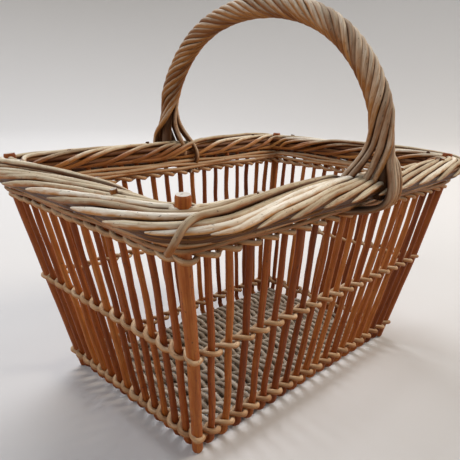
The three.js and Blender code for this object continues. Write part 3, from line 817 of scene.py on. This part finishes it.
def makeBorder():
    # Rods begin at equal shares of the way round, the corners counted longer so that tips crowd there.
    count = border["rods"]
    around = np.linspace(0, borderLength, 4001)
    _, away = borderLine(around)
    inCorner = np.abs(away[:, 0] * away[:, 1]) > 1e-9
    share = np.cumsum(np.where(inCorner, border["crowding"], 1.0))
    wanted = (np.arange(count) + 0.35 + chance.uniform(-0.14, 0.14, count)) / count
    begin = np.interp(wanted, share / share[-1], around)[:, None]
    climbRun = border["climbRun"] * chance.uniform(0.96, 1.04, (count, 1))
    first = border["start"] + chance.uniform(-1.0, 1.0, (count, 1)) * mm
    points, girth, face, openness = outerRods(begin, climbRun, first)
    sideOf = sideNames(begin[:, 0] + 0.1)
    for name in wallNames:
        chosen = sideOf == name
        top = rods("top", borderWillow, points[chosen], girth[chosen], face[chosen], sides=14,
                   ends=(0.5, 0.7), openness=openness[chosen])
        start = sideSpan(name)[0] - hooked["before"]
        oneRod = (np.array([[value]]) for value in (start, hooked["climbRun"], hooked["first"]))
        *bent, bentOpenness = outerRods(*oneRod, lift=hooked["lift"], hook=hooked["hook"],
                                        point=hooked["point"], stations=hooked["stations"])
        corner = rods("corner", borderWillow, *bent, sides=14, ends=(0.5, 0.7), openness=bentOpenness)
        piece = joined(f"border{name.capitalize()}", [top, corner, *makeUnder(name), makeStubs(name)])
        placed(piece, [f"border_{name}"])


handle = {
    "strands": 9,
    "rod": 5.9 * mm,
    "across": 23.2 * mm,        # the whole rope
    "turns": 4.0,
    "fan": 44 * mm,             # how far up each leg the strands fan out
    "spring": 234 * mm,         # height where the bow's curve begins
    "power": 2.18,              # of its superellipse
    "coreFoot": 212 * mm,       # where the bow rod ends inside the border
    "coreProud": 0.3 * mm,      # its radius past what the strands leave
}
coreLow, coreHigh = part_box("handle_core")
strandHigh = max(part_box(f"handle_strand_{i + 1}")[1].z for i in range(handle["strands"]))
bowX = (coreLow.x + coreHigh.x) / 2
footOut = -coreLow.y - (coreHigh.x - coreLow.x) / 2


def bowLine(count):
    # Superellipse from the front foot over the top to the back foot, at equal steps.
    apexZ = strandHigh - handle["across"] / 2
    turn = np.linspace(0, np.pi, 2001)
    c, s = np.cos(turn), np.sin(turn)
    y = -footOut * np.sign(c) * np.abs(c) ** (2 / handle["power"])
    z = handle["spring"] + (apexZ - handle["spring"]) * np.abs(s) ** (2 / handle["power"])
    run = np.concatenate([[0], np.cumsum(np.hypot(np.diff(y), np.diff(z)))])
    want = np.linspace(0, run[-1], count)
    y, z = np.interp(want, run, y), np.interp(want, run, z)
    path = np.stack([0 * y + bowX, y, z], axis=1)
    along = unit(np.gradient(path, axis=0))
    out = np.stack([0 * y, -along[:, 2], along[:, 1]], axis=1)
    return path, out, want, run[-1]


# The four strands that go over the outer side: where each comes down along the wall, and where it
# leaves the rope, along the wall and out, all in mm.
outerStrands = {7: (9.5, 10.5, 1.0), 8: (4.5, 9.5, 7.0), 0: (-0.5, 6.0, 11.5), 1: (-5.5, 1.0, 14.0)}
innerStrands = {
    2: [(-3.5, 14.6, 40), (-6.5, 12.5, 28), (-9, 10.5, 19), (-11, 8.5, 13), (-13, 6, 3)],
    3: [(-8.5, 9.5, 40), (-12.5, 8, 28), (-15.5, 6.5, 19), (-18, 4.5, 13), (-20, 2, 3)],
    4: [(-10, 3.5, 40), (-17, 0, 27), (-23, -4.5, 17), (-27, -8, 10), (-30, -10, 1)],
    5: [(-8.5, -3, 40), (-15, -7, 26), (-20.5, -13.5, 15), (-24, -19, 5), (-26, -21, -6), (-26, -17, -15)],
    6: [(-2.5, -3.5, 40), (-4, -7, 27), (-6.5, -12, 15), (-8.5, -14.5, 7), (-10, -15, -3)],
}


def footRoute(strand):
    # Where a strand goes below the rope: x along the wall, distance out from the border's middle and
    # height above its middle, in mm. Four strands go over the outer side and in under the border,
    # two end on the top, two lean away on the inner side and one goes straight down behind.
    if strand in innerStrands:
        return innerStrands[strand]
    x, leavesX, leavesOut = outerStrands[strand]
    return [(leavesX, leavesOut, 40), ((leavesX + 2 * x) / 3, 16.5, 25), (x, 21.0, 12), (x - 1.5, 22.8, 3),
            (x - 5, 21.3, -8), (x - 11, 13.5, -14), (x - 17, 4, -16.5), (x - 23, -8, -18.5),
            (x - 27, -20, -20 - 0.4 * x)]


def footLine(strand, end):
    # The route as points in the frame, turned half round for the back leg.
    route = np.array(footRoute(strand)) * mm
    return np.stack([bowX - end * route[:, 0], end * (borderY + route[:, 1]), borderZ + route[:, 2]], axis=1)


def curved(points, head, tail):
    # Smooth curve through the points: a cubic between each two, its slopes from the neighbours.
    # The head and tail, whose points stand far apart, get more steps.
    slope = unit(np.gradient(points, axis=0))
    pieces = []
    for i in range(len(points) - 1):
        near = i < head + 2 or i > len(points) - tail - 3
        t = np.linspace(0, 1, 14 if near else 3)[:-1, None]
        a, b = points[i], points[i + 1]
        size = np.linalg.norm(b - a)
        pieces.append((2 * t ** 3 - 3 * t ** 2 + 1) * a + (t ** 3 - 2 * t ** 2 + t) * slope[i] * size
                      + (3 * t ** 2 - 2 * t ** 3) * b + (t ** 3 - t ** 2) * slope[i + 1] * size)
    return np.concatenate([*pieces, points[-1:]])


def resampled(line, count):
    # The same line with its points at equal steps.
    run = np.concatenate([[0], np.cumsum(np.linalg.norm(np.diff(line, axis=0), axis=1))])
    want = np.linspace(0, run[-1], count)
    return np.stack([np.interp(want, run, line[:, i]) for i in range(3)], axis=1)


def softened(line):
    # Weighted mean along the line, its ends repeated.
    kernel = np.hanning(11)[1:-1]
    kernel = kernel / kernel.sum()
    pad = len(kernel) // 2
    padded = np.concatenate([np.repeat(line[:1], pad, 0), line, np.repeat(line[-1:], pad, 0)])
    return np.stack([np.convolve(padded[:, i], kernel, "valid") for i in range(3)], axis=1)


def facings(line):
    # Away from the bow's own centre line, so that the rods' rings don't flip.
    path = bowLine(400)[0]
    near = np.argmin(((line[:, None] - path[None]) ** 2).sum(2), axis=1)
    return unit(line - path[near] + upward * 1e-5)


def makeHandle():
    # Strands wind round the bow at a constant rate: each lies a radius from the bow's line, turned by
    # its share of the way along times the number of turns. Below the fan they follow their routes.
    count = handle["strands"]
    path, out, run, total = bowLine(241)
    fan = handle["fan"]
    radius = (handle["across"] - handle["rod"]) / 2
    wrapped = (run > fan) & (run < total - fan)
    share = (run[wrapped] - fan) / (total - 2 * fan)
    start = (np.arange(count)[:, None] + 0.5) / count * 2 * np.pi
    turn = start - share[None] * handle["turns"] * 2 * np.pi
    turn = turn + smoothWave(count, np.repeat(run[wrapped][None], count, 0), 0.06, 0.1, 0.3)
    face = np.cos(turn)[..., None] * np.array([1.0, 0, 0]) + np.sin(turn)[..., None] * out[wrapped][None]
    rope = path[wrapped][None] + radius * face
    for k in range(count):
        front, back = footLine(k, -1)[::-1], footLine((4 - k) % count, 1)
        whole = curved(np.concatenate([front, rope[k, 3:-3], back]), len(front), len(back))
        line = softened(resampled(whole, 320))
        half = handle["rod"] / 2 * chance.uniform(0.9, 1.06)
        girth = half * (1 + smoothWave(1, alongPath(line[None]), 0.035, 0.03, 0.12))
        strand = rods(f"handleStrand{k + 1}", handleWillow, line[None], girth, facings(line)[None], sides=14)
        placed(strand, [f"handle_strand_{k + 1}"])
    frontFoot, backFoot = ([[bowX, path[end, 1], handle["coreFoot"]]] for end in (0, -1))
    legs = np.concatenate([frontFoot, path[::3], backFoot])
    coreRadius = radius - handle["rod"] / 2 + handle["coreProud"]
    core = rods("handleBow", handleWillow, legs[None], coreRadius, (1, 0, 0))
    placed(core, ["handle_core"])


mat = {
    "rod": 4.3 * mm,
    "pitch": 4.55 * mm,
    "thickness": 12 * mm,
    "sticks": 7,                # lengthwise, across the whole base
    "stickRadius": 1.9 * mm,
    "stickShort": 1.5 * mm,     # of the mat's edge at each end
    "raised": 0.2 * mm,
    "wander": 0.35 * mm,
}


def makeBase():
    # Rods across the base, each over one stick and under the next: their height is a clipped cosine
    # that turns half round from stick to stick and from rod to rod.
    _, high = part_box("base_mat")
    halfX, halfY = high.x, high.y
    stations = 70
    count = int(2 * halfX / mat["pitch"])
    x = (np.arange(count) + 0.5) / count * 2 * halfX - halfX
    y = np.linspace(-halfY, halfY, stations)
    across = np.repeat(y[None], count, 0)
    sticks = [((i + 0.5) / mat["sticks"] - 0.5) * 2 * halfY for i in range(mat["sticks"])]
    wave = np.cos(np.pi * (y[None] / (2 * halfY) * mat["sticks"] + 3 + np.arange(count)[:, None]))
    reach = mat["thickness"] / 2 - mat["rod"] / 2
    z = mat["thickness"] / 2 + mat["raised"] + reach * np.clip(wave * 1.3, -1, 1)
    x = np.repeat(x[:, None], stations, 1) + smoothWave(count, across, mat["wander"], 0.03, 0.1)
    girth = mat["rod"] / 2 * chance.uniform(0.9, 1.08, (count, 1))
    weave = rods("baseMat", baseWillow, np.stack([x, across, z], axis=2), girth, (1, 0, 0), sides=10)
    placed(weave, ["base_mat"])
    line = np.linspace(-halfX + mat["stickShort"], halfX - mat["stickShort"], 40)
    level = np.full(40, mat["thickness"] / 2)
    for i in range(3):
        rows = [sticks[2 * i + 1], sticks[2 * i]] + ([sticks[-1]] if i == 2 else [])
        paths = np.stack([np.stack([line, np.full(40, place), level], axis=1) for place in rows])
        stick = rods(f"baseStick{i + 1}", baseWillow, paths, mat["stickRadius"], upward, sides=10)
        placed(stick, [f"base_stick_{i + 1}"])


makeStakes()
makePosts()
print("stakes and posts made")
makeRows()
placed(makeWale())
print("rows made")
makeBorder()
print("border made")
makeHandle()
print("handle made")
makeBase()
print("base made")


stage = {
    "flat": 2.6,                # radius of the level floor, in metres
    "sweep": 2.0,               # radius of the curve up from it
    "top": 2.6,
    "paint": "cbc9c6",
    "sides": 96,
}


def makeStage():
    # Floor that curves up into a round backdrop: a profile turned about the middle.
    sides = stage["sides"]
    bend = np.linspace(-np.pi / 2, 0, 33)
    edge = stage["flat"] + stage["sweep"]
    reach = np.concatenate([[0.001, 0.8, 1.6], stage["flat"] + stage["sweep"] * np.cos(bend), [edge]])
    height = np.concatenate([[0, 0, 0], stage["sweep"] + stage["sweep"] * np.sin(bend), [stage["top"]]])
    turn = np.linspace(0, 2 * np.pi, sides, endpoint=False)
    points = np.stack([reach[:, None] * np.cos(turn), reach[:, None] * np.sin(turn),
                       np.repeat(height[:, None], sides, 1)], axis=2).reshape(-1, 3)
    place = np.arange(len(points)).reshape(len(reach), sides)
    after = np.roll(place, -1, axis=1)
    faces = np.stack([place[:-1], after[:-1], after[1:], place[1:]], axis=-1).reshape(-1, 4)[:, ::-1]
    mesh = bpy.data.meshes.new("paleFloor")
    mesh.from_pydata(points.tolist(), [], faces.tolist())
    mesh.polygons.foreach_set("use_smooth", [True] * len(faces))
    floor = bpy.data.objects.new("paleFloor", mesh)
    bpy.context.scene.collection.objects.link(floor)
    paint = bpy.data.materials.new("palePaint")
    paint.use_nodes = True
    shader = paint.node_tree.nodes["Principled BSDF"]
    shader.inputs["Base Color"].default_value = colour(stage["paint"])
    shader.inputs["Roughness"].default_value = 0.85
    mesh.materials.append(paint)


def aimed(place, ahead, roll=0.0):
    # Turn and place of a lamp or camera that looks along "ahead", level but for its roll.
    right = unit(np.cross(ahead, [0, 0, 1]))
    up = np.cross(right, ahead)
    turn = np.eye(4)
    turn[:3, 0] = math.cos(roll) * right + math.sin(roll) * up
    turn[:3, 1] = -math.sin(roll) * right + math.cos(roll) * up
    turn[:3, 2] = -ahead
    turn[:3, 3] = place
    return Matrix(turn.tolist())


# Each window's place, width in metres, power in watts and colour.
lights = {
    "windowBehind": ((0.9, 1.9, 3.0), 2.2, 104, "f6f8ff"),
    "windowRight": ((2.6, -1.6, 2.2), 1.6, 92, "fff2e0"),
    "windowLeft": ((-2.9, 0.6, 2.1), 1.9, 40, "f2f6ff"),
}
lightAim = (0, 0, 0.2)
room = {"colour": "e4e8ee", "strength": 0.3}


def makeLights():
    # Round area lights that look at the basket, and an even glow from the room.
    for name, (place, size, power, tint) in lights.items():
        light = bpy.data.lights.new(name, "AREA")
        light.shape = "DISK"
        light.size = size
        light.energy = power
        light.color = colour(tint)[:3]
        lamp = bpy.data.objects.new(name, light)
        bpy.context.scene.collection.objects.link(lamp)
        lamp.matrix_world = aimed(place, unit(np.array(lightAim, float) - np.array(place, float)))
    world = bpy.data.worlds.new("softRoom")
    world.use_nodes = True
    background = world.node_tree.nodes["Background"]
    background.inputs[0].default_value = colour(room["colour"])
    background.inputs[1].default_value = room["strength"]
    bpy.context.scene.world = world


camera = {
    "place": (-0.40151, -0.36622, 0.30736),  # where the lens stands
    "azimuth": 45.72,                        # degrees from +Y towards +X
    "elevation": -16.33,                     # looking slightly down
    "roll": 1.79,
    "lens": 39.71,                           # on a 36 mm wide sensor
}


def makeCamera():
    # Looks along the azimuth and elevation.
    azimuth, elevation, roll = (math.radians(camera[key]) for key in ("azimuth", "elevation", "roll"))
    ahead = np.array([math.sin(azimuth) * math.cos(elevation), math.cos(azimuth) * math.cos(elevation),
                      math.sin(elevation)])
    data = bpy.data.cameras.new("viewCamera")
    data.sensor_width = 36
    data.lens = camera["lens"]
    data.clip_start = 0.01
    view = bpy.data.objects.new("viewCamera", data)
    bpy.context.scene.collection.objects.link(view)
    view.matrix_world = aimed(camera["place"], ahead, roll)
    bpy.context.scene.camera = view


makeStage()
makeLights()
makeCamera()
bpy.context.scene.view_settings.view_transform = "Standard"
